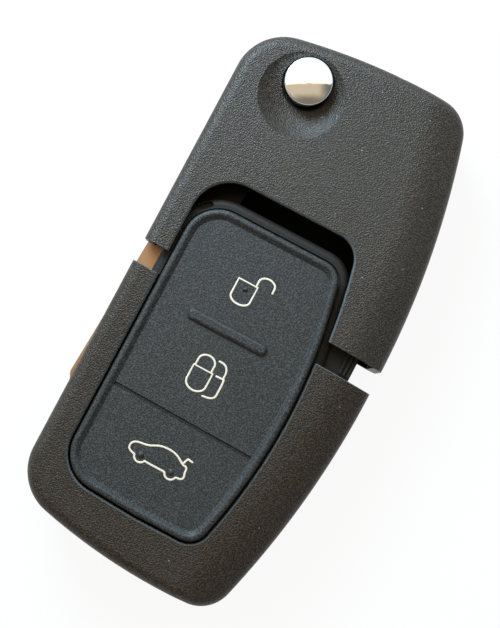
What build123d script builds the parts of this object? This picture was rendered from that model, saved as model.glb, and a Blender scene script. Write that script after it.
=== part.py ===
from build123d import *
import os
from math import asin, atan2, cos, degrees, radians, sin

os.makedirs("parts", exist_ok=True)

# A flip key fob shell in millimetres: a head that folds a blade away, and a remote case that
# plugs into it. X runs across the fob, Y along it towards the head, Z up out of the button face.
# The origin is under the middle of the fob, lying with the remote pulled a little out of the head.

# The fob as a whole, with the remote home in the head
body_length = 76.65
body_width = 38.5
body_height = 15.5
wall = 1.5
head_length = 37.9
pull_out = 3.35
seam_gap = 0.15
seam_drop = 1.2
run_gap = 0.25
flank_radius = 127.0
flank_drop = 1.15
head_end_radius = 95.0
remote_end_radius = 85.0
end_peak_from_right = 13.4
left_corner_radius = 7.4
right_corner_radius = 5.0
shoulder_width = 6.6
shoulder_radius = 12.0
front_edge_radius = 1.7
rear_edge_radius = 1.9
lip_height = 0.8
lip_thickness = 0.8
lip_gap = 0.1
edge_break = 0.25

# Keypad, placed from the fob's sides and the seam
pad_from_left = 4.6
pad_from_right = 8.95
pad_above_seam = 9.45
pad_length = 43.8
pad_toe_drop = 0.7
pad_flank_radius = 82.0
pad_flank_below_seam = 12.2
pad_top_left_radius = 5.2
pad_top_right_radius = 3.0
pad_bottom_left_radius = 5.4
pad_bottom_right_radius = 3.0
pad_gap = 0.4
pad_rise = 0.6
pad_field_depth = 0.55
pad_rim_width = 0.75
pad_rim_slope = 0.65
pad_rim_round = 0.45
pad_travel = 0.4
flange_lip = 0.75
flange_thickness = 0.8
flange_gap = 0.1
pocket_gap = 0.15
collar_width = 1.35
collar_round = 0.9
collar_hole_width = 0.85
collar_hole_depth = 1.05
collar_hole_angle = 128.0
collar_hole_span = 12.0
bar_length = 12.4
bar_width = 1.7
bar_height = 0.55
bar_below_top = 15.2
bar_from_left = 12.0
groove_width = 0.55
groove_depth = 0.35
groove_flare = 25.0
groove_below_top = 29.1
groove_drop = 0.55
plunger_radius = 1.6
plunger_length = 0.35
plunger_places = [(11.5, 7.9), (12.2, 21.0), (11.7, 34.6)]
bar_round = 0.5

# Arch in the head, round the keypad
arch_gap = 0.7
arch_lift = 0.2

# Tongue of the remote case
tongue_from_right = 3.6
tongue_reach = 10.6
tongue_corner_radius = 3.2
tongue_wall = 1.2
collar_stand = 1.15
guide_rib_width = 0.35
guide_rib_height = 0.45
guide_rib_pitch = 0.65
guide_rib_count = 3

# Blade, its hub and the release button
pivot_from_left = 10.2
pivot_from_end = 7.1
splay_deg = 3.0
blade_width = 8.6
blade_thickness = 2.6
blade_inset = 0.15
blade_length = 47.7
blade_proud = 1.05
blade_tip_length = 4.2
blade_tip_width = 4.0
blade_tip_round = 1.4
blade_groove_width = 2.4
blade_groove_depth = 0.5
blade_groove_end = 9.0
blade_room = 0.3
blade_side_room = 0.35
tang_width = 5.0
tang_length = 4.0
tang_gap = 0.05
hub_radius = 5.6
ear_length = 9.0
ear_thickness = 4.4
ear_round = 1.2
swing_room = 0.25
journal_radius = 4.9
journal_gap = 0.05
journal_length = 1.65
journal_wall = 1.65
journal_end_gap = 0.1
button_hole_radius = 3.8
button_radius = 3.45
button_core_radius = 3.1
core_gap = 0.06
core_wall = 0.7
core_crown = 0.8
core_foot = 0.2
cap_sheet = 0.4
cap_round = 0.35
button_travel = 1.8
button_stand = 0.9
button_dome = 0.55
button_skirt = 2.3
lug_reach = 4.1
lug_width = 1.6
lug_height = 2.2
lug_gap = 0.08
dish_radius = 6.25
dish_depth = 2.0
dish_from_pivot = 2.1
pin_radius = 0.8
pin_gap = 0.02
spring_radius = 1.9
spring_wire = 0.5
spring_turns = 5
spring_seat = 0.05
cup_radius = 3.7
cup_height = 1.4
cup_sheet = 0.35

# Screws that hold the two head covers together
screw_radius = 0.8
screw_head_radius = 1.5
screw_head_height = 1.0
screw_sink = 0.2
screw_places = [(16.1, 13.8), (8.5, 13.8)]
boss_wall = 1.1
screw_in_front = 4.0

# Keyring bar in the rear corner of the head
ring_bar_radius = 1.0
ring_bar_from_end = 2.6
ring_bar_height = 2.5
ring_slot_width = 7.5
ring_slot_length = 8.6
ring_slot_height = 6.2
ring_slot_from_right = 12.5
ring_cheek = 1.8
ring_bar_seat = 1.3

# Remote case
channel_room = 1.0
channel_wall = 1.2
lift_gap = 0.1
ledge_inset = 0.6
ledge_thickness = 0.8
pad_skin = 1.2
pad_wall = 1.3
rail_length = 12.0
rail_height = 4.0

# Derived places in plan, with the remote home
right_side = (body_width + blade_proud) / 2
left_side = right_side - body_width
end_peak_x = right_side - end_peak_from_right
head_end = (body_length + pull_out) / 2
remote_end = head_end - body_length
mouth = head_end - head_length
shoulder = mouth - seam_gap
flank_y = mouth - flank_drop
flank_x = right_side - flank_radius
pad_left = left_side + pad_from_left
pad_right = right_side - pad_from_right
pad_top = mouth + pad_above_seam + pull_out
pad_bottom = pad_top - pad_length
pad_middle_x = (pad_left + pad_right) / 2
pad_flank_y = mouth - pad_flank_below_seam + pull_out

# Derived heights
parting = body_height / 2
ceiling = body_height - wall
collar_top = ceiling - run_gap
plate_top = collar_top - collar_stand
tongue_bottom = wall + run_gap
flange_top = plate_top - flange_gap
flange_bottom = flange_top - flange_thickness
ledge_top = flange_bottom - pad_travel - flange_gap
ledge_bottom = ledge_top - ledge_thickness
rim_top = body_height + pad_rise
field = rim_top - pad_field_depth
blade_top = parting + blade_thickness / 2
blade_bottom = parting - blade_thickness / 2
channel_top = blade_top + blade_room
channel_bottom = blade_bottom - blade_room
ear_top = parting + ear_thickness / 2
ear_bottom = parting - ear_thickness / 2
swing_top = ear_top + swing_room
swing_bottom = ear_bottom - swing_room

# Derived places of the blade and hub
pivot_x = left_side + pivot_from_left
pivot_y = head_end - pivot_from_end
blade_outer = blade_width - blade_inset
channel_wall_x = pivot_x + blade_inset + blade_side_room
blade_root = -ear_length
blade_tip = blade_root - blade_length
channel_end = pivot_y + blade_tip - channel_room
hub_top = ear_top + journal_length
hub_bottom = ear_bottom - journal_length
dish_y = pivot_y - dish_from_pivot
dish_sphere = (dish_radius**2 + dish_depth**2) / (2 * dish_depth)
core_bottom = hub_bottom + button_travel + core_foot
lug_top = core_bottom + lug_height
button_rim = body_height + button_stand
cap_bottom = button_rim - button_skirt
core_top = button_rim - cap_sheet
core_ceiling = core_top - core_crown
tongue_left = pad_left - pad_gap - collar_width
tongue_right = right_side - tongue_from_right
left_rail_width = tongue_left - run_gap - wall / 2 - left_side
right_rail_width = right_side - wall / 2 - tongue_right - run_gap
journal_outer = journal_radius + journal_gap + journal_wall
blade_middle = (blade_inset - blade_outer) / 2
bar_x = pad_left + bar_from_left
bar_y = pad_top - bar_below_top
groove_y = pad_top - groove_below_top
rim_taper = degrees(atan2(pad_rim_slope, pad_field_depth))
groove_turn = degrees(atan2(groove_drop, pad_right - pad_left))
collar_corner = (pad_left + pad_top_left_radius, pad_top - pad_top_left_radius)
collar_middle_radius = pad_top_left_radius + pad_gap + collar_width / 2
guide_rib_length = tongue_reach - tongue_corner_radius
plungers = [(pad_left + across, pad_top - below) for across, below in plunger_places]
screws = [(right_side - from_right, head_end - from_end) for from_right, from_end in screw_places]
ring_slot_x = right_side - ring_slot_from_right
ring_slot_end = head_end - ring_slot_length
ring_bar_y = head_end - ring_bar_from_end
ring_block_width = ring_slot_width + 2 * ring_cheek
far = 2 * body_length


def rest(height):
    """Plane of the remote's pieces, pulled out of the head, at a height."""
    return Plane((0, -pull_out, height))


def blade_plane(height):
    """Plane at the pivot, turned to the blade's rest angle."""
    turn = radians(splay_deg)
    return Plane(origin=(pivot_x, pivot_y, height), x_dir=(cos(turn), -sin(turn), 0), z_dir=(0, 0, 1))


def pad_outline(grow, lift=0):
    """Keypad outline, moved outwards by grow, with its top end lifted further."""
    left = pad_left - grow
    right = pad_right + grow + wall
    top = pad_top + grow + lift
    bottom = pad_bottom - grow
    with BuildSketch() as outline:
        with BuildLine():
            Polyline(
                (left, top),
                (right, top),
                (right, bottom),
                (pad_middle_x, bottom),
                (left, bottom + pad_toe_drop),
                close=True,
            )
        make_face()
        with Locations((pad_right - pad_flank_radius, pad_flank_y)):
            Circle(pad_flank_radius + grow, mode=Mode.INTERSECT)
        left_corners = outline.vertices().sort_by(Axis.X)[:2].sort_by(Axis.Y)
        fillet(left_corners[1], pad_top_left_radius + grow)
        fillet(outline.vertices().sort_by(Axis.X)[0:2].sort_by(Axis.Y)[0], pad_bottom_left_radius + grow)
        right_corners = outline.vertices().filter_by(lambda v: v.X > pad_middle_x + 1).sort_by(Axis.Y)
        fillet(right_corners[-1], pad_top_right_radius + grow)
        right_corners = outline.vertices().filter_by(lambda v: v.X > pad_middle_x + 1).sort_by(Axis.Y)
        fillet(right_corners[0], pad_bottom_right_radius + grow)
    return outline.sketch


def side_of_seam(line_y, direction):
    """Half plane on one side of the slanted seam line, +1 towards the head."""
    with BuildSketch() as half:
        with BuildLine():
            Polyline(
                (-far, line_y + far * seam_drop / body_width),
                (far, line_y - far * seam_drop / body_width),
                (far, direction * far),
                (-far, direction * far),
                close=True,
            )
        make_face()
    return half.sketch


def plan_outline(inset=0):
    """Plan of the closed fob, moved inwards: a rectangle trimmed by the arcs of its flank and two ends."""
    with BuildSketch() as outline:
        with Locations((left_side + inset, remote_end - wall)):
            Rectangle(body_width + wall, body_length + 2 * wall, align=(Align.MIN, Align.MIN))
        with Locations((flank_x, flank_y)):
            Circle(flank_radius - inset, mode=Mode.INTERSECT)
        with Locations((end_peak_x, head_end - head_end_radius)):
            Circle(head_end_radius - inset, mode=Mode.INTERSECT)
        with Locations((end_peak_x, remote_end + remote_end_radius)):
            Circle(remote_end_radius - inset, mode=Mode.INTERSECT)
        fillet(outline.vertices().sort_by(Axis.X)[:2], left_corner_radius - inset)
        right_corners = outline.vertices().filter_by(lambda v: v.X > end_peak_x).sort_by(Axis.Y)
        fillet([right_corners[0], right_corners[-1]], right_corner_radius - inset)
    return outline.sketch


def channel_outline(grow=0):
    """Plan of the blade's channel, open at the left and towards the head, moved outwards by grow."""
    with BuildSketch() as outline:
        with Locations((left_side - wall, channel_end - grow)):
            Rectangle(
                channel_wall_x + grow - left_side + wall,
                body_length + grow,
                align=(Align.MIN, Align.MIN),
            )
    return outline.sketch


def bay_outline(inset=0):
    """Plan of the bay behind the seam, beside the walled channel, moved inwards by inset."""
    with BuildSketch() as outline:
        add(plan_outline(wall + inset))
        add(side_of_seam(shoulder - wall - inset, -1), mode=Mode.INTERSECT)
        add(channel_outline(channel_wall + inset), mode=Mode.SUBTRACT)
    return outline.sketch


def tongue_outline(inset=0):
    """Plan of the tongue, moved inwards by inset: a rectangle joined to the collar's rounded end."""
    with BuildSketch() as nose:
        add(pad_outline(pad_gap + collar_width - inset))
        add(side_of_seam(shoulder - wall, 1), mode=Mode.INTERSECT)
    with BuildSketch() as outline:
        with Locations((tongue_left + inset, shoulder - 2 * wall)):
            Rectangle(
                tongue_right - tongue_left - 2 * inset,
                tongue_reach + 2 * wall - inset,
                align=(Align.MIN, Align.MIN),
            )
        fillet(vertices().group_by(Axis.Y)[-1].sort_by(Axis.X)[-1], tongue_corner_radius - inset)
        add(nose.sketch)
    return outline.sketch


def collar_slot():
    """Plan of the slot in the collar's top left corner, along the middle of the collar."""
    with BuildSketch() as outline:
        middle = CenterArc(collar_corner, collar_middle_radius, collar_hole_angle, collar_hole_span)
        SlotArc(middle, collar_hole_width)
    return outline.sketch


# Upper half of the closed fob: its right side falls off in a soft shoulder
with BuildPart() as front_block:
    with BuildSketch(Plane.XY.offset(parting)):
        add(plan_outline())
    extrude(amount=body_height - parting)
    with BuildSketch(Plane(origin=(flank_x, flank_y, 0), x_dir=(-1, 0, 0), z_dir=(0, 1, 0))):
        with BuildLine():
            flat_end = (flank_radius - shoulder_width, body_height)
            fall = CenterArc((flat_end[0], body_height - shoulder_radius), shoulder_radius, 90, -50)
            Polyline(fall @ 1, (fall.position_at(1).X, 0), (0, 0), (0, body_height), flat_end)
        make_face()
    revolve(axis=Axis((flank_x, flank_y, 0), (0, 0, 1)), mode=Mode.INTERSECT)
    side_faces = front_block.faces().filter_by(lambda f: abs(f.normal_at().Z) < 0.01)
    rim_edges = side_faces.edges().filter_by(lambda e: e.bounding_box().min.Z > parting + wall)
    fillet(rim_edges, front_edge_radius)

# Lower half of the closed fob
with BuildPart() as rear_block:
    with BuildSketch():
        add(plan_outline())
    extrude(amount=parting)
    fillet(rear_block.faces().sort_by(Axis.Z)[0].edges(), rear_edge_radius)

# Room for the blade and its hub to turn in the head, from folded at the left to out of the end
with BuildSketch() as swing_plan:
    with Locations((left_side - wall, remote_end)):
        Rectangle(
            channel_wall_x - left_side + wall,
            pivot_y - remote_end,
            align=(Align.MIN, Align.MIN),
        )
    with Locations((left_side - wall, pivot_y - swing_room)):
        Rectangle(
            pivot_x + blade_outer + swing_room - left_side + wall,
            pivot_from_end + wall + swing_room,
            align=(Align.MIN, Align.MIN),
        )
    with Locations((pivot_x, pivot_y)):
        Circle(hub_radius + swing_room)

# Front cover of the head: an open-mouthed shell with the arch, the finger dish and the hub's seat
with BuildPart() as head_front_shell:
    add(front_block.part)
    with BuildSketch():
        add(side_of_seam(mouth, 1))
    extrude(amount=far, mode=Mode.INTERSECT)
    with BuildSketch(Plane.XY.offset(parting)):
        add(plan_outline(wall))
    extrude(amount=ceiling - parting, mode=Mode.SUBTRACT)
    with BuildSketch(Plane.XY.offset(swing_top)):
        with Locations((pivot_x, pivot_y)):
            Circle(journal_outer)
        add(plan_outline(wall / 2), mode=Mode.INTERSECT)
    extrude(amount=ceiling - swing_top)
    with BuildSketch(Plane.XY.offset(parting)):
        with Locations(*screws):
            Circle(screw_radius + boss_wall)
    extrude(amount=ceiling - parting)
    with BuildSketch(Plane.XY.offset(parting)):
        with Locations(*screws):
            Circle(screw_radius + pin_gap)
    extrude(amount=screw_in_front + screw_sink, mode=Mode.SUBTRACT)
    with BuildSketch(Plane.XY.offset(ceiling)):
        add(pad_outline(arch_gap, arch_lift))
    extrude(amount=2 * wall, mode=Mode.SUBTRACT)
    with BuildSketch(Plane.XY.offset(body_height)):
        add(pad_outline(arch_gap + edge_break, arch_lift))
    extrude(amount=-edge_break, taper=45, mode=Mode.SUBTRACT)
    with Locations((pivot_x, dish_y, body_height - dish_depth + dish_sphere)):
        Sphere(dish_sphere, mode=Mode.SUBTRACT)
    with BuildSketch(Plane.XY.offset(parting)):
        with Locations((pivot_x, pivot_y)):
            Circle(button_hole_radius)
    extrude(amount=body_height, mode=Mode.SUBTRACT)
    with BuildSketch(Plane.XY.offset(swing_top)):
        with Locations((pivot_x, pivot_y)):
            Circle(journal_radius + journal_gap)
    extrude(amount=hub_top + journal_end_gap - swing_top, mode=Mode.SUBTRACT)
    with BuildSketch(Plane.XY.offset(parting)):
        add(swing_plan.sketch)
    extrude(amount=swing_top - parting, mode=Mode.SUBTRACT)

# Rear cover of the head: hub's lower seat, screw posts, guide rails and the keyring slot
with BuildPart() as head_rear_shell:
    add(rear_block.part)
    with BuildSketch():
        add(side_of_seam(mouth, 1))
    extrude(amount=far, mode=Mode.INTERSECT)
    with BuildSketch(Plane.XY.offset(wall)):
        add(plan_outline(wall))
    extrude(amount=parting - wall, mode=Mode.SUBTRACT)
    with BuildSketch(Plane.XY.offset(wall)):
        with Locations((pivot_x, pivot_y)):
            Circle(journal_outer)
        add(plan_outline(wall / 2), mode=Mode.INTERSECT)
    extrude(amount=swing_bottom - wall)
    with BuildSketch(Plane.XY.offset(wall)):
        with Locations(*screws):
            Circle(screw_head_radius + boss_wall)
    extrude(amount=parting - wall)
    with BuildSketch(Plane.XY.offset(wall)):
        with Locations((ring_slot_x, ring_slot_end - wall)):
            Rectangle(ring_block_width, ring_slot_length + wall, align=(Align.CENTER, Align.MIN))
        add(plan_outline(), mode=Mode.INTERSECT)
    extrude(amount=ring_slot_height)
    with BuildSketch(Plane.XY.offset(wall)):
        with Locations((right_side - wall / 2, mouth + wall)):
            Rectangle(right_rail_width, rail_length, align=(Align.MAX, Align.MIN))
        with Locations((left_side + wall / 2, mouth + wall)):
            Rectangle(left_rail_width, rail_length, align=(Align.MIN, Align.MIN))
    extrude(amount=rail_height)
    with BuildSketch(Plane.XY.offset(parting - lip_height)):
        add(plan_outline(wall))
        add(plan_outline(wall + lip_gap + lip_thickness), mode=Mode.SUBTRACT)
        with Locations((right_side, mouth + wall)):
            Rectangle(body_width / 4, head_length / 2, align=(Align.MAX, Align.MIN), mode=Mode.INTERSECT)
    extrude(amount=lip_height)
    with BuildSketch(Plane.XY.offset(parting)):
        add(plan_outline(wall + lip_gap))
        add(plan_outline(wall + lip_gap + lip_thickness), mode=Mode.SUBTRACT)
        with Locations((right_side, mouth + wall)):
            Rectangle(body_width / 4, head_length / 2, align=(Align.MAX, Align.MIN), mode=Mode.INTERSECT)
    extrude(amount=lip_height)
    with BuildSketch():
        with Locations((ring_slot_x, ring_slot_end)):
            Rectangle(ring_slot_width, ring_slot_length + wall, align=(Align.CENTER, Align.MIN))
    extrude(amount=ring_slot_height, mode=Mode.SUBTRACT)
    with BuildSketch(Plane.YZ.offset(ring_slot_x - ring_slot_width / 2 - ring_bar_seat)):
        with Locations((ring_bar_y, ring_bar_height)):
            Circle(ring_bar_radius + pin_gap)
    extrude(amount=ring_slot_width + 2 * ring_bar_seat, mode=Mode.SUBTRACT)
    with BuildSketch(Plane.XY.offset(wall)):
        with Locations((pivot_x, pivot_y)):
            Circle(cup_radius + journal_gap)
    extrude(amount=parting, mode=Mode.SUBTRACT)
    with BuildSketch(Plane.XY.offset(hub_bottom - journal_end_gap)):
        with Locations((pivot_x, pivot_y)):
            Circle(journal_radius + journal_gap)
    extrude(amount=parting, mode=Mode.SUBTRACT)
    with BuildSketch(Plane.XY.offset(swing_bottom)):
        add(swing_plan.sketch)
    extrude(amount=parting - swing_bottom, mode=Mode.SUBTRACT)
    with Locations(*[(x, y, 0) for x, y in screws]):
        with Locations(Rotation(180, 0, 0)):
            CounterBoreHole(
                radius=screw_radius + pin_gap,
                counter_bore_radius=screw_head_radius + pin_gap,
                counter_bore_depth=screw_sink + screw_head_height,
                depth=parting,
            )

# Two pan-headed screws, driven from the back
with BuildPart() as head_screws:
    with BuildSketch(Plane.XY.offset(screw_sink)):
        with Locations(*screws):
            Circle(screw_head_radius)
    extrude(amount=screw_head_height)
    with BuildSketch(Plane.XY.offset(screw_sink + screw_head_height)):
        with Locations(*screws):
            Circle(screw_radius)
    extrude(amount=parting + screw_in_front - screw_sink - screw_head_height)

# Steel bar that a keyring passes round
with BuildPart() as keyring_bar:
    with BuildSketch(Plane.YZ.offset(ring_slot_x - ring_slot_width / 2 - ring_bar_seat + pin_gap)):
        with Locations((ring_bar_y, ring_bar_height)):
            Circle(ring_bar_radius)
    extrude(amount=ring_slot_width + 2 * (ring_bar_seat - pin_gap))

# Pressed steel cup under the spring
with BuildPart() as spring_cup:
    with BuildSketch(Plane.XY.offset(wall)):
        with Locations((pivot_x, pivot_y)):
            Circle(cup_radius)
    extrude(amount=cup_height)
    with BuildSketch(Plane.XY.offset(wall + cup_sheet)):
        with Locations((pivot_x, pivot_y)):
            Circle(cup_radius - cup_sheet)
    extrude(amount=cup_height, mode=Mode.SUBTRACT)

# Coil spring of square wire between the cup and the release button
spring_bottom = wall + cup_sheet + spring_seat + spring_wire / 2
spring_top = core_ceiling - spring_seat - spring_wire / 2
with BuildPart() as flip_spring:
    with BuildLine():
        coil = Helix(
            pitch=(spring_top - spring_bottom) / spring_turns,
            height=spring_top - spring_bottom,
            radius=spring_radius,
            center=(pivot_x, pivot_y, spring_bottom),
        )
    with BuildSketch(Plane(coil @ 0, z_dir=coil % 0)):
        Rectangle(spring_wire, spring_wire)
    sweep(is_frenet=True)

# Hub: a disc with an ear for the blade, turning on a journal above and below
with BuildPart() as blade_hub:
    with BuildSketch(blade_plane(ear_bottom)):
        with Locations((blade_inset, 0)):
            Rectangle(blade_width, ear_length, align=(Align.MAX, Align.MAX))
        fillet(vertices().group_by(Axis.Y)[0].sort_by(Axis.X)[0], ear_round)
        Circle(hub_radius)
    extrude(amount=ear_thickness)
    with BuildSketch(blade_plane(hub_bottom)):
        Circle(journal_radius)
    extrude(amount=hub_top - hub_bottom)
    with BuildSketch(blade_plane(hub_bottom)):
        Circle(button_core_radius + core_gap)
    extrude(amount=hub_top - hub_bottom, mode=Mode.SUBTRACT)
    with BuildSketch(blade_plane(hub_bottom)):
        Circle(lug_reach + lug_gap)
        Rectangle(2 * far, lug_width + 2 * lug_gap, mode=Mode.INTERSECT)
    extrude(amount=lug_top + lug_gap - hub_bottom, mode=Mode.SUBTRACT)
    with BuildSketch(blade_plane(blade_bottom - tang_gap)):
        with Locations((blade_middle, -ear_length)):
            Rectangle(tang_width + 2 * tang_gap, tang_length + tang_gap, align=(Align.CENTER, Align.MIN))
    extrude(amount=blade_thickness + 2 * tang_gap, mode=Mode.SUBTRACT)
    with BuildSketch(blade_plane(ear_bottom)):
        with Locations((blade_middle, tang_length / 2 - ear_length)):
            Circle(pin_radius + pin_gap)
    extrude(amount=ear_thickness, mode=Mode.SUBTRACT)

# Blade: a flat blank with a tapered tip, a groove along each face and a tang held in the ear
with BuildPart() as key_blade:
    with BuildSketch(blade_plane(blade_bottom)):
        with BuildLine():
            Polyline(
                (blade_inset, blade_root),
                (blade_inset, blade_tip + blade_tip_length),
                (blade_middle + blade_tip_width / 2, blade_tip),
                (blade_middle - blade_tip_width / 2, blade_tip),
                (-blade_outer, blade_tip + blade_tip_length),
                (-blade_outer, blade_root),
                close=True,
            )
        make_face()
        fillet(vertices().filter_by(lambda v: v.Y < blade_root - 1), blade_tip_round)
        with Locations((blade_middle, blade_root)):
            Rectangle(tang_width, tang_length, align=(Align.CENTER, Align.MIN))
    extrude(amount=blade_thickness)
    with BuildSketch(blade_plane(blade_bottom)):
        with Locations((blade_middle, blade_root)):
            Rectangle(blade_groove_width, blade_length - blade_groove_end, align=(Align.CENTER, Align.MAX))
    extrude(amount=blade_groove_depth, mode=Mode.SUBTRACT)
    with BuildSketch(blade_plane(blade_top - blade_groove_depth)):
        with Locations((blade_middle, blade_root)):
            Rectangle(blade_groove_width, blade_length - blade_groove_end, align=(Align.CENTER, Align.MAX))
    extrude(amount=blade_groove_depth, mode=Mode.SUBTRACT)
    with BuildSketch(blade_plane(ear_bottom)):
        with Locations((blade_middle, tang_length / 2 - ear_length)):
            Circle(pin_radius + pin_gap)
    extrude(amount=ear_thickness, mode=Mode.SUBTRACT)

# Steel pin through the ear and the blade's tang
with BuildPart() as blade_pin:
    with BuildSketch(blade_plane(ear_bottom)):
        with Locations((blade_middle, tang_length / 2 - ear_length)):
            Circle(pin_radius)
    extrude(amount=ear_thickness)

# Plunger of the release button: a tube closed at the top, with two lugs that key it to the hub
with BuildPart() as button_core:
    with BuildSketch(blade_plane(core_bottom)):
        Circle(button_core_radius)
    extrude(amount=cap_bottom - core_bottom)
    with BuildSketch(blade_plane(cap_bottom)):
        Circle(button_radius - cap_sheet - pin_gap)
    extrude(amount=core_top - cap_bottom)
    with BuildSketch(blade_plane(core_bottom)):
        Circle(button_core_radius - core_wall)
    extrude(amount=core_ceiling - core_bottom, mode=Mode.SUBTRACT)
    with BuildSketch(blade_plane(core_bottom)):
        Circle(lug_reach)
        Rectangle(2 * lug_reach, lug_width, mode=Mode.INTERSECT)
        Circle(button_core_radius - core_wall, mode=Mode.SUBTRACT)
    extrude(amount=lug_height)

# Domed cap of the button, a thin drawn shell
dome_sphere = (button_radius**2 + button_dome**2) / (2 * button_dome)
dome_angle = degrees(asin(button_radius / dome_sphere))
with BuildPart() as button_cap:
    with BuildSketch(Plane(origin=(pivot_x, pivot_y, 0), x_dir=(1, 0, 0), z_dir=(0, -1, 0))):
        with BuildLine():
            crown = (0, button_rim + button_dome)
            CenterArc((0, crown[1] - dome_sphere), dome_sphere, 90 - dome_angle, dome_angle)
            Polyline(crown, (0, cap_bottom), (button_radius, cap_bottom), (button_radius, button_rim))
        make_face()
        fillet(vertices().sort_by(Axis.X).group_by(Axis.X)[-1].sort_by(Axis.Y)[-1], cap_round)
    revolve(axis=Axis((pivot_x, pivot_y, 0), (0, 0, 1)))
    with BuildSketch(blade_plane(cap_bottom)):
        Circle(button_radius - cap_sheet)
    extrude(amount=button_skirt - cap_sheet + pin_gap, mode=Mode.SUBTRACT)

# Collar that stands round the keypad, seen round its top end through the arch
with BuildPart() as collar:
    with BuildSketch(rest(ledge_bottom)):
        add(pad_outline(pad_gap + collar_width))
    extrude(amount=collar_top - ledge_bottom)
    fillet(collar.faces().sort_by(Axis.Z)[-1].edges(), collar_round)

# Front cover of the remote case, with the keypad's collar and the tongue that plugs into the head
with BuildPart() as remote_front_shell:
    with Locations((0, -pull_out, 0)):
        add(front_block.part)
    with BuildSketch(rest(0)):
        add(side_of_seam(shoulder, -1))
    extrude(amount=far, mode=Mode.INTERSECT)
    with BuildSketch(rest(ledge_bottom)):
        add(plan_outline(wall))
        add(side_of_seam(shoulder - wall, -1), mode=Mode.INTERSECT)
        add(pad_outline(pad_gap + collar_width), mode=Mode.SUBTRACT)
    extrude(amount=ceiling - ledge_bottom, mode=Mode.SUBTRACT)
    with BuildSketch(rest(parting)):
        add(bay_outline())
    extrude(amount=ledge_bottom - parting, mode=Mode.SUBTRACT)
    with BuildSketch(rest(tongue_bottom)):
        add(tongue_outline())
        add(side_of_seam(shoulder + lift_gap, 1), mode=Mode.INTERSECT)
    extrude(amount=parting - tongue_bottom)
    with BuildSketch(rest(parting)):
        add(tongue_outline())
        add(side_of_seam(shoulder - wall, 1), mode=Mode.INTERSECT)
    extrude(amount=plate_top - parting)
    with BuildSketch(rest(tongue_bottom + tongue_wall)):
        add(tongue_outline(tongue_wall))
        add(side_of_seam(shoulder - 1.5 * wall, 1), mode=Mode.INTERSECT)
        add(channel_outline(channel_wall), mode=Mode.SUBTRACT)
    extrude(amount=plate_top - tongue_bottom - 2 * tongue_wall, mode=Mode.SUBTRACT)
    add(collar.part)
    with BuildSketch(rest(ledge_bottom)):
        add(pad_outline(-ledge_inset))
    extrude(amount=body_height, mode=Mode.SUBTRACT)
    with BuildSketch(rest(ledge_top)):
        add(pad_outline(flange_lip + pocket_gap))
    extrude(amount=plate_top - ledge_top, mode=Mode.SUBTRACT)
    with BuildSketch(rest(plate_top)):
        add(pad_outline(pad_gap))
    extrude(amount=body_height, mode=Mode.SUBTRACT)
    with BuildSketch(rest(body_height)):
        add(pad_outline(pad_gap + edge_break))
    extrude(amount=-edge_break, taper=45, mode=Mode.SUBTRACT)
    with BuildSketch(rest(channel_bottom)):
        add(channel_outline())
    extrude(amount=channel_top - channel_bottom, mode=Mode.SUBTRACT)
    with BuildSketch(rest(collar_top)):
        add(collar_slot())
    extrude(amount=-collar_hole_depth, mode=Mode.SUBTRACT)
    with BuildSketch(rest(plate_top)):
        for rib in range(guide_rib_count):
            with Locations((tongue_right - guide_rib_width - rib * guide_rib_pitch, shoulder)):
                Rectangle(guide_rib_width, guide_rib_length, align=(Align.CENTER, Align.MIN))
    extrude(amount=guide_rib_height)

# Rear cover of the remote case, lifted off to reach the bay
with BuildPart() as remote_rear_shell:
    with Locations((0, -pull_out, 0)):
        add(rear_block.part)
    with BuildSketch(rest(0)):
        add(side_of_seam(shoulder, -1))
    extrude(amount=far, mode=Mode.INTERSECT)
    with BuildSketch(rest(wall)):
        add(plan_outline(wall))
        add(side_of_seam(shoulder - wall, -1), mode=Mode.INTERSECT)
    extrude(amount=channel_bottom - channel_wall - wall, mode=Mode.SUBTRACT)
    with BuildSketch(rest(wall)):
        add(bay_outline())
    extrude(amount=parting, mode=Mode.SUBTRACT)
    with BuildSketch(rest(channel_bottom)):
        add(channel_outline())
    extrude(amount=parting, mode=Mode.SUBTRACT)
    with BuildSketch(rest(parting - lip_height)):
        add(bay_outline())
        add(bay_outline(lip_gap + lip_thickness), mode=Mode.SUBTRACT)
    extrude(amount=lip_height)
    with BuildSketch(rest(parting)):
        add(bay_outline(lip_gap))
        add(bay_outline(lip_gap + lip_thickness), mode=Mode.SUBTRACT)
    extrude(amount=lip_height)

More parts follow.
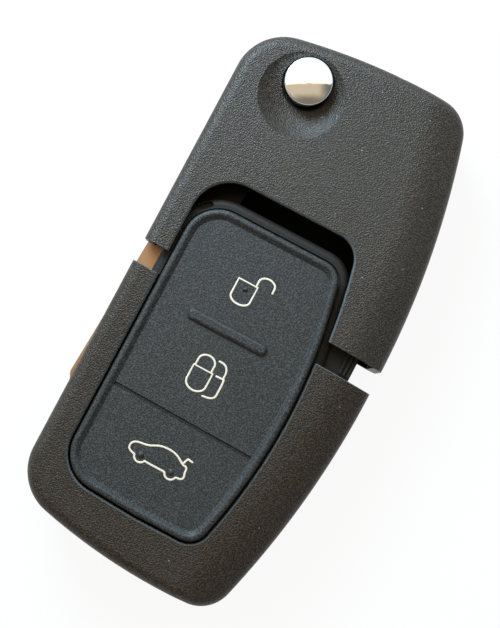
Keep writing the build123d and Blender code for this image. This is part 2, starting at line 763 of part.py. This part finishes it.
# Keypad: one rubber moulding with a raised rim, a bar and a groove between its buttons
with BuildPart() as keypad:
    with BuildSketch(rest(flange_top)):
        add(pad_outline(0))
    extrude(amount=rim_top - flange_top)
    with BuildSketch(rest(rim_top)):
        add(pad_outline(-pad_rim_width))
    extrude(amount=-pad_field_depth, taper=rim_taper, mode=Mode.SUBTRACT)
    fillet(keypad.edges().group_by(Axis.Z)[-1], pad_rim_round)
    with BuildSketch(rest(flange_bottom)):
        add(pad_outline(flange_lip))
    extrude(amount=flange_thickness)
    with BuildSketch(rest(flange_bottom)):
        add(pad_outline(-pad_wall))
    extrude(amount=field - pad_skin - flange_bottom, mode=Mode.SUBTRACT)
    with BuildSketch(rest(flange_bottom - plunger_length)):
        with Locations(*plungers):
            Circle(plunger_radius)
    extrude(amount=field - pad_skin - flange_bottom + plunger_length)
    with BuildSketch(rest(field)):
        with Locations((bar_x, bar_y)):
            RectangleRounded(bar_length, bar_width, bar_width * 0.45)
    extrude(amount=bar_height)
    fillet(keypad.edges(Select.LAST).group_by(Axis.Z)[-1], bar_round)
    with BuildSketch(rest(field)):
        with Locations(Location((pad_middle_x, groove_y), -groove_turn)):
            Rectangle(far, groove_width)
        add(pad_outline(-pad_rim_width - pad_rim_slope), mode=Mode.INTERSECT)
    extrude(amount=-groove_depth, taper=groove_flare, mode=Mode.SUBTRACT)

pieces = {
    "head_front_shell": head_front_shell,
    "head_rear_shell": head_rear_shell,
    "head_screws": head_screws,
    "keyring_bar": keyring_bar,
    "spring_cup": spring_cup,
    "flip_spring": flip_spring,
    "blade_hub": blade_hub,
    "key_blade": key_blade,
    "blade_pin": blade_pin,
    "button_core": button_core,
    "button_cap": button_cap,
    "remote_front_shell": remote_front_shell,
    "remote_rear_shell": remote_rear_shell,
    "keypad": keypad,
}
for piece_name, piece in pieces.items():
    piece.part.label = piece_name
    export_step(piece.part, f"parts/{piece_name}.step")
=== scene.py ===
import bpy
import numpy as np
from mathutils import Matrix, Vector


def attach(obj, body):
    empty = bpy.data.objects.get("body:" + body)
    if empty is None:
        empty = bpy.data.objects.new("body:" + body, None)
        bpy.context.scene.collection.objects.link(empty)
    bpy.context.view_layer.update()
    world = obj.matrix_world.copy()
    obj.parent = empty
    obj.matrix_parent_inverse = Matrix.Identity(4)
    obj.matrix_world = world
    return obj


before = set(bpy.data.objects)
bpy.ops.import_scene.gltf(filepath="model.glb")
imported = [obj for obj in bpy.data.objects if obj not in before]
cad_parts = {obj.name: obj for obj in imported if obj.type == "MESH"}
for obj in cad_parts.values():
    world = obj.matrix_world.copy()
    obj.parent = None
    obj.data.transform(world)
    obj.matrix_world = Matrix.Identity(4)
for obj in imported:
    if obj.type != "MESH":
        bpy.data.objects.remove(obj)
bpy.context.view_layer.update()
MM = 0.001

# Places of the fob, in millimetres in the row frame. An arc is given by the x and y of its centre and by its
# radius.
PARTING = 7.75  # height of the line between the upper and lower shells
FIELD = 15.55  # height of the keypad's face
CEILING = 13.48  # height under which the head's faces are inside ones, painted nearly black as shade
PLATE = 12.75  # height just over the tongue, under which its faces are hidden in the head and painted nearly black as shade
SEAM = -1.40  # y at which the remote case's outer face ends, on the line x = 0
SEAM_SLOPE = -1.2 / 38.5
LEFT = -18.725  # x of the straight left side
FLANK = (-107.225, 0.95, 127.0)
HEAD_END = (6.375, -55.0, 95.0)
REMOTE_END = (6.375, 45.0, 85.0)
LEFT_CORNER = 7.4
FLANK_CORNER = 5.0
COLLAR = (-8.925, 6.35, 6.275)  # middle of the collar, round the keypad's upper left corner
COLLAR_SLOT = (-13.28, 10.86, 1.35)  # circle on that arc that takes in the slot, which is painted black as shade
SCREWS = [(3.675, 26.2), (11.275, 26.2)]


class Value:
    """A socket that takes part in an expression: + - * ** and abs() on it add Math nodes."""

    def __init__(self, graph, socket):
        self.graph = graph
        self.socket = socket

    def math(self, operation, *values):
        return self.graph.node("ShaderNodeMath", {"operation": operation}, dict(enumerate(values)))

    def __add__(self, other):
        return self.math("ADD", self, other)

    def __radd__(self, other):
        return self.math("ADD", other, self)

    def __sub__(self, other):
        return self.math("SUBTRACT", self, other)

    def __rsub__(self, other):
        return self.math("SUBTRACT", other, self)

    def __mul__(self, other):
        return self.math("MULTIPLY", self, other)

    def __rmul__(self, other):
        return self.math("MULTIPLY", other, self)

    def __pow__(self, other):
        return self.math("POWER", self, other)

    def __rpow__(self, other):
        return self.math("POWER", other, self)

    def __abs__(self):
        return self.math("ABSOLUTE", self)

    def least(self, other):
        return self.math("MINIMUM", self, other)

    def most(self, other):
        return self.math("MAXIMUM", self, other)

    def above(self, edge, soft):
        """0 below edge, 1 above edge + soft, smooth between."""
        ramp = {0: self, 1: edge, 2: edge + soft, 3: 0.0, 4: 1.0}
        return self.graph.node("ShaderNodeMapRange", {"interpolation_type": "SMOOTHSTEP"}, ramp)

    def below(self, edge, soft):
        """1 below edge - soft, 0 above edge, smooth between."""
        return 1.0 - self.above(edge - soft, soft)


class Graph:
    """The nodes of one material or of the world."""

    def __init__(self, owner, output="ShaderNodeOutputMaterial"):
        owner.use_nodes = True
        self.owner = owner
        self.tree = owner.node_tree
        self.tree.nodes.clear()
        self.output = self.tree.nodes.new(output)

    def node(self, kind, settings=None, inputs=None, out=0):
        """Adds a node of a kind: its settings first, then the values or links of its sockets."""
        made = self.tree.nodes.new(kind)
        for key, setting in (settings or {}).items():
            setattr(made, key, setting)
        for key, value in (inputs or {}).items():
            if isinstance(value, Value):
                self.tree.links.new(value.socket, made.inputs[key])
            else:
                made.inputs[key].default_value = value
        return Value(self, made.outputs[out])

    def place(self):
        """Object coordinates: a point of the piece at rest, in metres."""
        return self.node("ShaderNodeTexCoord", out="Object")

    def uprightness(self):
        """Z of the surface's normal in the piece's own frame: 1 on a face that looks up, 0 on a wall."""
        return self.axes(self.node("ShaderNodeTexCoord", out="Normal"))[2]

    def stretch(self, point, scale, turn=0.0):
        """Coordinates turned about Z and scaled along each axis, for brushed marks."""
        return self.node("ShaderNodeMapping", {}, {"Vector": point, "Rotation": (0, 0, turn), "Scale": scale})

    def axes(self, vector):
        """The three parts of a vector."""
        split = self.node("ShaderNodeSeparateXYZ", {}, {0: vector}).socket.node
        return [Value(self, part) for part in split.outputs]

    def millimetres(self, point):
        """The three coordinates of a point, in millimetres."""
        return [part * 1000.0 for part in self.axes(point)]

    def noise(self, point, pitch, detail, rough=0.5):
        """Noise from 0 to 1 with a feature every pitch millimetres."""
        inputs = {"Vector": point, "Scale": 1000.0 / pitch, "Detail": detail, "Roughness": rough}
        return self.node("ShaderNodeTexNoise", {}, inputs)

    def cells(self, point, pitch):
        """Distance to the nearest of scattered points that lie pitch millimetres apart."""
        return self.node("ShaderNodeTexVoronoi", {}, {"Vector": point, "Scale": 1000.0 / pitch})

    def tint(self, factor, low, high):
        """A colour between two, by a factor from 0 to 1."""
        low, high = [c if isinstance(c, Value) else (*c, 1.0) for c in (low, high)]
        return self.node("ShaderNodeMix", {"data_type": "RGBA"}, {0: factor, 6: low, 7: high}, out=2)

    def bump(self, height, depth, under=None):
        """Normal of a surface whose height runs over depth millimetres."""
        inputs = {"Height": height, "Distance": depth * MM, "Strength": 1.0}
        if under is not None:
            inputs["Normal"] = under
        return self.node("ShaderNodeBump", {}, inputs)

    def finish(self, **inputs):
        """Principled shader with these sockets, named with _ for a space."""
        named = {key.replace("_", " "): value for key, value in inputs.items()}
        return self.surface(self.node("ShaderNodeBsdfPrincipled", {}, named))

    def surface(self, shader):
        """The shader becomes the surface of what the nodes belong to."""
        self.tree.links.new(shader.socket, self.output.inputs["Surface"])
        return self.owner


def inside_arc(x, y, circle):
    """Distance inwards from a circle: its radius less the distance from its centre."""
    cx, cy, radius = circle
    return radius - ((x - cx) ** 2.0 + (y - cy) ** 2.0) ** 0.5


def round_corner(one, other, radius):
    """Distance inwards from two sides that meet in a rounded corner, given that from each; radius at most."""
    return radius - ((radius - one).most(0.0) ** 2.0 + (radius - other).most(0.0) ** 2.0) ** 0.5


def inside_depth(x, y):
    """Distance inwards from the fob's outline in plan: its left side, flank, two ends and rounded corners."""
    end = inside_arc(x, y, HEAD_END).least(inside_arc(x, y, REMOTE_END))
    left = round_corner(x - LEFT, end, LEFT_CORNER)
    return left.least(round_corner(inside_arc(x, y, FLANK), end, FLANK_CORNER))


def moulded_shell(name, gloss, low, high, tongue=False):
    """Black moulded plastic: a spark-eroded grain, a few pale specks, a parting line, a painted blue-grey
    highlight on the sloped faces deep inside the outline (the glint of the dish and the arch's rims, partly
    wear), and faces inside the fob painted nearly black as shade and made dull. With tongue, it is that of the
    remote case's front: from the seam on, its collar is duller and painted darker as shade, a painted highlight
    runs along the seam edge, a slot in the collar is painted black as shade, and its lower faces, hidden in the
    head, are painted nearly black as shade."""
    g = Graph(bpy.data.materials.new(name))
    point = g.place()
    x, y, z = g.millimetres(point)
    upright = g.uprightness()
    depth = inside_depth(x, y)
    grit = g.noise(point, 0.14, 2.0, 0.6)
    grain = g.cells(point, 0.22) * 0.8 + grit * 0.6
    drift = g.noise(point, 14.0, 2.0)
    speck = g.cells(point, 2.6).below(0.045, 0.012)
    # Painted highlight: sloped faces deep inside the outline, the dish walls and the arch's rims, turn
    # blue-grey as their glint, partly standing for wear.
    wear_and_glint = upright.above(0.55, 0.05) * upright.below(0.82, 0.03) * depth.above(2.2, 0.3)
    if tongue:
        past_seam = y - x * SEAM_SLOPE - SEAM
        collar = past_seam.above(-0.05, 0.1)
        # Painted shade: the tongue's faces below the plate, hidden in the head, are painted nearly black.
        inner_shade = collar * z.below(PLATE, 0.1)
        # Painted highlight: a thin light line along the seam edge of the remote case.
        seam_glint = abs(past_seam + 0.05).below(0.09, 0.04) * upright.above(0.8, 0.1)
        wear_and_glint = (wear_and_glint * past_seam.below(0.0, 0.05)).most(seam_glint)
        # Painted shade: the slot in the collar is painted black.
        slot = abs(inside_arc(x, y, COLLAR)).below(0.50, 0.08) * inside_arc(x, y, COLLAR_SLOT).above(0.0, 0.12)
        slot = slot * z.above(PLATE + 0.15, 0.1)
    else:
        # Painted shade: walls deep inside the outline and faces under the ceiling are painted nearly black and
        # made dull.
        walled = abs(upright).below(0.5, 0.2).most(z.below(CEILING, 0.05))
        inner_shade = depth.above(1.3, 0.15) * walled * z.above(1.3, 0.1)
    outer = 1.0 - inner_shade
    relief = grain * outer
    roughness = (0.30 + drift * 0.06 + grit * 0.12) * outer
    colour = g.tint((grain - 0.70) * 2.6 + (drift - 0.5) * 0.3 + 0.5, low, high)
    if tongue:
        relief = relief * (1.0 - collar * 0.7)
        roughness = roughness + inner_shade * 0.6 + collar * outer * 0.22
        # Painted shade: the collar, sunk under the head's arch, is painted darker.
        colour = g.tint(collar * 0.8, colour, (0.006, 0.005, 0.004))
    else:
        roughness = roughness + inner_shade * 0.95
    # Painted highlight on the sloped faces and the seam edge, partly wear.
    colour = g.tint(wear_and_glint * 0.6, colour, (0.13, 0.15, 0.16))
    # Painted shade: faces inside the fob go nearly black.
    colour = g.tint(inner_shade, colour, (0.005, 0.0038, 0.003))
    if tongue:
        # Painted shade: the collar's slot goes black.
        colour = g.tint(slot, colour, (0.001, 0.001, 0.001))
    colour = g.tint(speck * outer * 0.7, colour, (0.30, 0.29, 0.27))
    line = abs(z - PARTING).below(0.10, 0.05)
    colour = g.tint(line * 0.8, colour, (0.004, 0.004, 0.004))
    normal = g.bump(1.0 - line, 0.05, g.bump(relief, 0.082))
    return g.finish(Base_Color=colour, Roughness=roughness, Normal=normal, Specular_IOR_Level=gloss)


def pad_rubber(name):
    """Blue-black silicone with a fine even grain and a soft bloom."""
    g = Graph(bpy.data.materials.new(name))
    point = g.place()
    grit = g.noise(point, 0.13, 3.0, 0.65)
    grain = grit * 0.7 + g.cells(point, 0.22) * 0.5
    drift = g.noise(point, 9.0, 2.0)
    tone = (grain - 0.62) * 4.2 + (drift - 0.5) * 0.3 + 0.5
    colour = g.tint(tone, (0.003, 0.0034, 0.0036), (0.044, 0.045, 0.043))
    roughness = 0.44 + grit * 0.14
    return g.finish(Base_Color=colour, Roughness=roughness, Normal=g.bump(grain, 0.06), Specular_IOR_Level=0.46)


def polished_chrome(name):
    """Bright plated cap with faint wipe marks and a few pits."""
    g = Graph(bpy.data.materials.new(name))
    point = g.place()
    wipe = g.noise(g.stretch(point, (1.0, 0.12, 1.0), 0.6), 0.5, 3.0, 0.6)
    pit = g.cells(point, 1.7).below(0.035, 0.012)
    cloud = g.noise(point, 2.4, 2.0)
    colour = g.tint(cloud, (0.90, 0.90, 0.89), (0.96, 0.96, 0.95))
    roughness = 0.045 + wipe * 0.05 + pit * 0.3
    normal = g.bump(cloud * 0.6 + wipe * 0.15 - pit * 0.3, 0.02)
    return g.finish(Base_Color=colour, Metallic=1.0, Roughness=roughness, Normal=normal)


def brushed_metal(name, low, high, turn, shaded_past=None):
    """Rolled or ground metal, its fine scratches running along one direction in plan, turned from Y by turn
    radians. Where y is more than the last argument, in millimetres, it is painted nearly black as shade."""
    g = Graph(bpy.data.materials.new(name))
    point = g.place()
    scratch = g.noise(g.stretch(point, (1.0, 0.04, 1.0), turn), 0.12, 3.0, 0.7)
    cloud = g.noise(point, 5.0, 3.0)
    colour = g.tint(cloud * 0.6 + scratch * 0.4, low, high)
    if shaded_past is not None:
        # Painted shade: the blade's end near its hub, seen inside the head, is painted nearly black.
        root_shade = g.millimetres(point)[1].above(shaded_past, 1.5)
        colour = g.tint(root_shade, colour, (0.012, 0.010, 0.008))
    roughness = 0.26 + scratch * 0.16 + cloud * 0.06
    return g.finish(Base_Color=colour, Metallic=1.0, Roughness=roughness, Normal=g.bump(scratch, 0.004))


def hub_plastic(name):
    """Smooth dark nylon with a faint flow pattern."""
    g = Graph(bpy.data.materials.new(name))
    point = g.place()
    flow = g.noise(point, 3.5, 3.0, 0.6)
    fine = g.noise(point, 0.25, 2.0)
    colour = g.tint(flow, (0.014, 0.014, 0.015), (0.034, 0.034, 0.036))
    return g.finish(Base_Color=colour, Roughness=0.26 + flow * 0.1 + fine * 0.05, Normal=g.bump(fine, 0.006))


def screw_steel(name, centres):
    """Blackened steel with the cross recess of a driver in each head: two bars that cross on its centre, drawn
    by a bump and painted nearly black as shade.
    """
    g = Graph(bpy.data.materials.new(name))
    point = g.place()
    x, y, z = g.millimetres(point)
    turned = g.noise(g.stretch(point, (1.0, 1.0, 0.05)), 0.15, 2.0)
    cross = 0.0
    for cx, cy in centres:
        dx, dy = abs(x - cx), abs(y - cy)
        bar_y = dx.below(0.24, 0.06) * dy.below(0.95, 0.1)
        bar_x = dx.below(0.95, 0.1) * dy.below(0.24, 0.06)
        cross = cross + bar_y.most(bar_x)
    recess = cross * z.below(0.4, 0.05)
    colour = g.tint(turned, (0.05, 0.05, 0.05), (0.11, 0.11, 0.11))
    # Painted shade: the cross recess is painted nearly black.
    colour = g.tint(recess, colour, (0.004, 0.004, 0.004))
    normal = g.bump(1.0 - recess, 0.25, g.bump(turned, 0.006))
    return g.finish(Base_Color=colour, Metallic=1.0, Roughness=0.34 + turned * 0.14, Normal=normal)


def sign_paint(name, low, high):
    """Ink wiped into a moulded line, or the painted shade beside it: nearly even, a little thin in places."""
    g = Graph(bpy.data.materials.new(name))
    point = g.place()
    patch = g.noise(point, 0.6, 3.0, 0.6)
    fine = g.noise(point, 0.12, 2.0)
    colour = g.tint(patch * 0.7 + fine * 0.3, low, high)
    return g.finish(Base_Color=colour, Roughness=0.5 + fine * 0.15, Normal=g.bump(fine, 0.008))


def new_piece(name, verts, faces, material, body, slot):
    """A mesh from arrays of points in millimetres and of faces, which rides on a body."""
    mesh = bpy.data.meshes.new(name)
    mesh.from_pydata((np.asarray(verts, float) * MM).tolist(), [], faces)
    mesh.update()
    mesh.shade_smooth()
    mesh.materials.append(material)
    piece = bpy.data.objects.new(name, mesh)
    bpy.context.scene.collection.objects.link(piece)
    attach(piece, body)


def arc(cx, cy, rx, ry, start, end, count):
    """Points of an ellipse arc: its centre plus its radii times the cosine and sine of an angle, which runs
    from start to end in degrees."""
    t = np.radians(np.linspace(start, end, count))
    return np.column_stack([cx + rx * np.cos(t), cy + ry * np.sin(t)])


def smooth(points, count):
    """Points of a uniform cubic B-spline that starts and ends on the first and last of the given points."""
    p = np.asarray(points, float)
    p = np.vstack([2 * p[0] - p[1], p, 2 * p[-1] - p[-2]])
    u = np.linspace(0, len(p) - 3 - 1e-9, count)
    k = u.astype(int)
    t = (u - k)[:, None]
    weights = [(1 - t) ** 3, 3 * t**3 - 6 * t**2 + 4, -3 * t**3 + 3 * t**2 + 3 * t + 1, t**3]
    return sum(w * p[k + n] for n, w in enumerate(weights)) / 6


def rounded(points, radius, closed=False, count=5):
    """A broken line whose corners are turned by quadratic arcs that start and end radius away from each
    corner, or just under half a side away where the side is short."""
    p = np.asarray(points, float)
    to_before, to_after = np.roll(p, 1, 0) - p, np.roll(p, -1, 0) - p
    first = p + to_before * np.minimum(radius / np.linalg.norm(to_before, axis=1), 0.49)[:, None]
    last = p + to_after * np.minimum(radius / np.linalg.norm(to_after, axis=1), 0.49)[:, None]
    t = np.linspace(0, 1, count)[None, :, None]
    turned = (1 - t) ** 2 * first[:, None] + 2 * t * (1 - t) * p[:, None] + t**2 * last[:, None]
    if closed:
        return turned.reshape(-1, 2)
    return np.vstack([p[:1], turned[1:-1].reshape(-1, 2), p[-1:]])


def grid_faces(rows, columns, rows_close=False, columns_close=False):
    """Quads of a grid of points that is given row by row: each joins a point with the next in its column and
    its row. The last row or column joins the first where they close."""
    i, j = np.meshgrid(np.arange(rows - 1 + rows_close), np.arange(columns - 1 + columns_close), indexing="ij")
    next_i, next_j = (i + 1) % rows, (j + 1) % columns
    corners = [i * columns + j, i * columns + next_j, next_i * columns + next_j, next_i * columns + j]
    return np.stack(corners, axis=-1).reshape(-1, 4).tolist()


def bead(path, width, crown, floor, closed=False):
    """A low bead along a path in plan. At each point the profile is a half ellipse, width across the path's
    normal and crown high, standing on the height floor. At an open end it goes on for half the width, and the
    profile shrinks there to a rounded tip."""
    p = np.asarray(path, float)
    ahead = np.roll(p, -1, 0) - p if closed else np.diff(p, axis=0)
    ahead = ahead / np.linalg.norm(ahead, axis=1)[:, None]
    if closed:
        tangent = ahead + np.roll(ahead, 1, 0)
    else:
        tangent = np.vstack([ahead[:1], ahead[1:] + ahead[:-1], ahead[-1:]])
    tangent = tangent / np.linalg.norm(tangent, axis=1)[:, None]
    size = np.ones(len(p))
    if not closed:
        tip_reach = np.array([0.71, 1.0])[:, None] * width / 2
        tip_size = np.array([0.71, 0.02])
        p = np.vstack([p[0] - tip_reach[::-1] * tangent[0], p, p[-1] + tip_reach * tangent[-1]])
        tangent = np.vstack([np.repeat(tangent[:1], 2, 0), tangent, np.repeat(tangent[-1:], 2, 0)])
        size = np.concatenate([tip_size[::-1], size, tip_size])
    profile = 9
    angle = np.linspace(np.pi, 0, profile)
    normal = np.column_stack([-tangent[:, 1], tangent[:, 0]])
    across = (np.cos(angle) * width / 2)[None, :] * size[:, None]
    up = (np.sin(angle) * crown)[None, :] * size[:, None]
    plan = p[:, None, :] + normal[:, None, :] * across[:, :, None]
    verts = np.dstack([plan, floor + up]).reshape(-1, 3)
    return verts, grid_faces(len(p), profile, rows_close=closed)


def dome(cx, cy, radius, height, floor):
    """A button dome: rings at radius times the sine of an angle, raised by height times its cosine squared,
    from a right angle at the foot to a small flat at the top."""
    rings, sides, flat = 9, 28, 0.12
    angle = np.linspace(np.pi / 2, flat, rings)
    turn = np.linspace(0, 2 * np.pi, sides, endpoint=False)
    ring, around = np.meshgrid(angle, turn, indexing="ij")
    verts = np.dstack([
        cx + radius * np.sin(ring) * np.cos(around),
        cy + radius * np.sin(ring) * np.sin(around),
        floor + height * np.cos(ring) ** 2,
    ]).reshape(-1, 3)
    top = list(range((rings - 1) * sides, rings * sides))
    return verts, grid_faces(rings, sides, columns_close=True) + [top]


def gather(parts):
    """One mesh from several: their points one after another, each one's faces moved up by the points before."""
    verts, faces, start = [], [], 0
    for part_verts, part_faces in parts:
        verts.append(part_verts)
        faces += [[start + k for k in face] for face in part_faces]
        start += len(part_verts)
    return np.vstack(verts), faces


# Finishes
BLACK = (0.004, 0.003, 0.002)
head_plastic = moulded_shell("head_plastic", 0.46, BLACK, (0.052, 0.039, 0.027))
# Painted shade: the remote case's front is a darker, browner copy of the head's plastic, standing for the
# dimmer light at the fob's lower end.
remote_plastic = moulded_shell("remote_plastic", 0.35, BLACK, (0.048, 0.034, 0.022), tongue=True)
cover_plastic = moulded_shell("cover_plastic", 0.42, BLACK, (0.052, 0.040, 0.028))
rubber = pad_rubber("pad_rubber")
chrome = polished_chrome("cap_chrome")
# The blade is painted nearly black as shade past y 8.5 mm, near its hub.
blade_metal = brushed_metal("blade_metal", (0.33, 0.20, 0.115), (0.46, 0.295, 0.18), 0.052, shaded_past=8.5)
plain_steel = brushed_metal("plain_steel", (0.42, 0.42, 0.42), (0.60, 0.60, 0.60), 0.8)
hub_nylon = hub_plastic("hub_nylon")
black_screw = screw_steel("black_screw", SCREWS)
cream = sign_paint("sign_cream", (0.66, 0.55, 0.43), (0.83, 0.73, 0.59))
# Painted shade for the groove beside each sign line.
line_shade_paint = sign_paint("sign_line_shade", (0.008, 0.008, 0.009), (0.016, 0.016, 0.018))
finishes = {
    "head_front_shell": head_plastic,
    "head_rear_shell": head_plastic,
    "head_screws": black_screw,
    "keyring_bar": plain_steel,
    "spring_cup": plain_steel,
    "flip_spring": plain_steel,
    "blade_hub": hub_nylon,
    "key_blade": blade_metal,
    "blade_pin": plain_steel,
    "button_core": hub_nylon,
    "button_cap": chrome,
    "remote_front_shell": remote_plastic,
    "remote_rear_shell": cover_plastic,
    "keypad": rubber,
}
for node_name, finish in finishes.items():
    node_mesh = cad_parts[node_name].data
    node_mesh.materials.clear()
    node_mesh.materials.append(finish)

# Signs of the three buttons, drawn in plan in millimetres, then moved by SIGN_SHIFT to their place on the pad
SIGN_SHIFT = np.array([-0.415, 0.245])
SIGN_LINE = 0.28
INK_CROWN, INK_FLOOR = 0.045, FIELD + 0.012
# Painted shade: a dark line under each ink stroke, shifted towards the upper left, stands for the shadowed wall
# of a groove.
SHADE_LINE, SHADE_CROWN, SHADE_FLOOR = SIGN_LINE + 0.13, 0.010, FIELD + 0.004
SHADE_SHIFT = np.array([-0.035, 0.035])
DOME_HEIGHT, DOME_FLOOR = 0.24, FIELD + 0.002


def half_stadium(x0, x1, top, turn, bottom):
    """A U: straight sides from top down to turn, joined by half an ellipse that reaches bottom."""
    middle, radius = (x0 + x1) / 2, (x1 - x0) / 2
    return np.vstack([[x0, top], arc(middle, turn, radius, turn - bottom, 180, 360, 17), [x1, top]])


def sign(name, strokes):
    """A sign: cream beads along its strokes, each lying on a wider dark line of painted shade, shifted towards
    the upper left as the shadowed wall of a groove. A stroke is a path, and whether it is closed."""
    inks, line_shades = [], []
    for path, closed in strokes:
        path = np.asarray(path) + SIGN_SHIFT
        inks.append(bead(path, SIGN_LINE, INK_CROWN, INK_FLOOR, closed))
        line_shades.append(bead(path + SHADE_SHIFT, SHADE_LINE, SHADE_CROWN, SHADE_FLOOR, closed))
    new_piece(name + "_ink", *gather(inks), cream, "pad", "pad_rubber")
    new_piece(name + "_line_shade", *gather(line_shades), line_shade_paint, "pad", "pad_rubber")


# An open padlock
unlock_body = half_stadium(-3.80, -0.83, 3.57, 1.15, 0.22)
unlock_bow = np.vstack([
    [(-1.08, 3.57), (-1.08, 4.4)],
    arc(0.14, 4.45, 1.22, 0.87, 180, 0, 15),
    [(1.38, 3.78)],
])
sign("unlock_sign", [(unlock_body, True), (unlock_bow, False)])

# A shut padlock with a second one behind it
lock_body = half_stadium(-3.73, -0.76, -10.07, -12.2, -13.38)
lock_bow = np.vstack([[-3.53, -10.0], arc(-2.28, -9.05, 1.25, 1.02, 180, 0, 15), [-1.03, -10.0]])
back_bow = np.vstack([smooth([(-0.72, -8.08), (0.0, -8.05), (0.66, -8.45), (0.86, -9.2)], 10), [0.86, -10.0]])
back_body = np.vstack([
    [(1.02, -10.1), (1.10, -10.8), (1.10, -12.2)],
    smooth([(1.10, -12.3), (1.08, -12.95), (0.4, -13.35), (-0.6, -13.47)], 10)[1:],
])
back_bar = np.array([[-0.15, -10.13], [1.0, -10.1]])
lock_strokes = [(lock_body, True)] + [(path, False) for path in (lock_bow, back_bow, back_body, back_bar)]
sign("lock_sign", lock_strokes)

# A car with its boot open
car_roof = [
    (-5.15, -25.05), (-5.9, -24.9), (-6.35, -24.55), (-6.36, -23.9), (-5.95, -23.4), (-5.0, -23.22),
    (-4.1, -23.12), (-3.4, -22.8), (-2.6, -22.35), (-1.7, -22.2), (-0.6, -22.2), (0.3, -22.45),
    (1.0, -22.9), (1.5, -23.22),
]
car_tail = [
    (2.05, -23.28), (2.22, -23.5), (2.25, -24.0), (2.42, -24.6), (2.40, -24.95), (2.1, -25.17), (1.45, -25.26),
]
rear_wheel = arc(0.56, -25.12, 0.86, 0.83, -15, -165, 13)
sill = [(-0.42, -25.3), (-3.35, -25.27)]
front_wheel = arc(-4.3, -25.0, 0.86, 0.80, -15, -165, 13)
car_outline = np.vstack([smooth(car_roof, 60), car_tail, rear_wheel, sill, front_wheel])
boot_lid = np.array([[1.42, -23.15], [1.78, -22.18], [2.55, -22.3]])
sign("boot_sign", [(rounded(car_outline, 0.08, closed=True, count=3), True), (rounded(boot_lid, 0.12), False)])

# Small domes: one on the open padlock, two for the car's wheels
dome_places = [(-2.25, 2.55, 0.42), (-4.35, -24.75, 0.50), (0.52, -24.87, 0.50)]
domes = [dome(x + SIGN_SHIFT[0], y + SIGN_SHIFT[1], r, DOME_HEIGHT, DOME_FLOOR) for x, y, r in dome_places]
new_piece("pad_bumps", *gather(domes), rubber, "pad", "pad_rubber")

# Floor: pale cloth that keeps the fob's shadow, shown nearly white to the camera and in reflections. From below
# it is clear, so that the fob's back shows, and it lies a hair lower than that back.
g = Graph(bpy.data.materials.new("pale_floor"))
seen = g.node("ShaderNodeLightPath", out="Is Camera Ray") + g.node("ShaderNodeLightPath", out="Is Glossy Ray")
seen = (seen + g.node("ShaderNodeLightPath", out="Is Transmission Ray")).above(0.0, 0.5)
cloth = g.node("ShaderNodeBsdfDiffuse", {}, {"Color": (0.86, 0.86, 0.86, 1.0)})
glow = g.node("ShaderNodeEmission", {}, {"Color": (1.0, 1.0, 1.0, 1.0), "Strength": 1.0})
top_side = g.node("ShaderNodeMixShader", {}, {0: seen * 0.92, 1: cloth, 2: glow})
clear = g.node("ShaderNodeBsdfTransparent")
from_below = g.node("ShaderNodeNewGeometry", out="Backfacing")
pale_floor = g.surface(g.node("ShaderNodeMixShader", {}, {0: from_below, 1: top_side, 2: clear}))
half = 1500.0 * MM
level = -0.02 * MM
floor_mesh = bpy.data.meshes.new("floor")
corners = [(-half, -half, level), (half, -half, level), (half, half, level), (-half, half, level)]
floor_mesh.from_pydata(corners, [], [(0, 1, 2, 3)])
floor_mesh.materials.append(pale_floor)
floor = bpy.data.objects.new("floor", floor_mesh)
bpy.context.scene.collection.objects.link(floor)

# Camera at the photograph's viewing angle
SENSOR = 36.0  # millimetres, across the longer side of the frame
FRAME_HEIGHT = 628.0  # pixels
FOCAL_LENGTH = 1550.6  # in the same pixels
eye = Vector((4.57, -9.72, 232.72)) * MM
aim = Vector((-0.55, 0.16, 13.0)) * MM
back = (eye - aim).normalized()
up = Vector((-0.4678, 0.8838, 0.0))
up = (up - back * up.dot(back)).normalized()
across = up.cross(back)
camera_data = bpy.data.cameras.new("camera")
camera_data.lens = SENSOR * FOCAL_LENGTH / FRAME_HEIGHT
camera_data.clip_start = 0.01
camera = bpy.data.objects.new("camera", camera_data)
camera.matrix_world = Matrix([
    [across.x, up.x, back.x, eye.x],
    [across.y, up.y, back.y, eye.y],
    [across.z, up.z, back.z, eye.z],
    [0.0, 0.0, 0.0, 1.0],
])
bpy.context.scene.collection.objects.link(camera)
bpy.context.scene.camera = camera


def softbox(name, place, size, power, colour):
    """A square area lamp at a place in millimetres, turned to the fob."""
    lamp = bpy.data.lights.new(name, "AREA")
    lamp.size = size * MM
    lamp.energy = power
    lamp.color = colour
    holder = bpy.data.objects.new(name, lamp)
    spot = Vector(place) * MM
    holder.matrix_world = Matrix.Translation(spot) @ (-spot).to_track_quat("-Z", "Y").to_matrix().to_4x4()
    bpy.context.scene.collection.objects.link(holder)


softbox("window_light", (-132, 118, 150), 100, 0.80, (0.64, 0.84, 1.0))

# Surroundings: a tan room, brown where it is furthest from the window and dim on the right. On the window's
# side a cool sky turns warm overhead, and a pale horizon runs all round.
g = Graph(bpy.data.worlds.new("studio"), "ShaderNodeOutputWorld")
dx, dy, dz = g.axes(g.node("ShaderNodeTexCoord", out="Generated"))
to_window = dx * -0.47 + dy * 0.88
to_right = dx * 0.88 + dy * 0.47
room = g.tint(to_window.above(-0.30, 0.20), (0.22, 0.18, 0.14), (0.64, 0.53, 0.38))
room = g.tint(to_right.above(0.25, 0.28), room, (0.13, 0.15, 0.14))
sky = g.tint(dz.above(0.62, 0.34), (0.80, 1.06, 1.30), (1.76, 1.46, 1.08))
room = g.tint(to_window.above(0.10, 0.03), room, sky)
room = g.tint(dz.below(0.26, 0.14), room, (0.92, 1.0, 1.04))
bpy.context.scene.world = g.surface(g.node("ShaderNodeBackground", {}, {"Color": room, "Strength": 1.0}))

bpy.context.scene.view_settings.view_transform = "Standard"
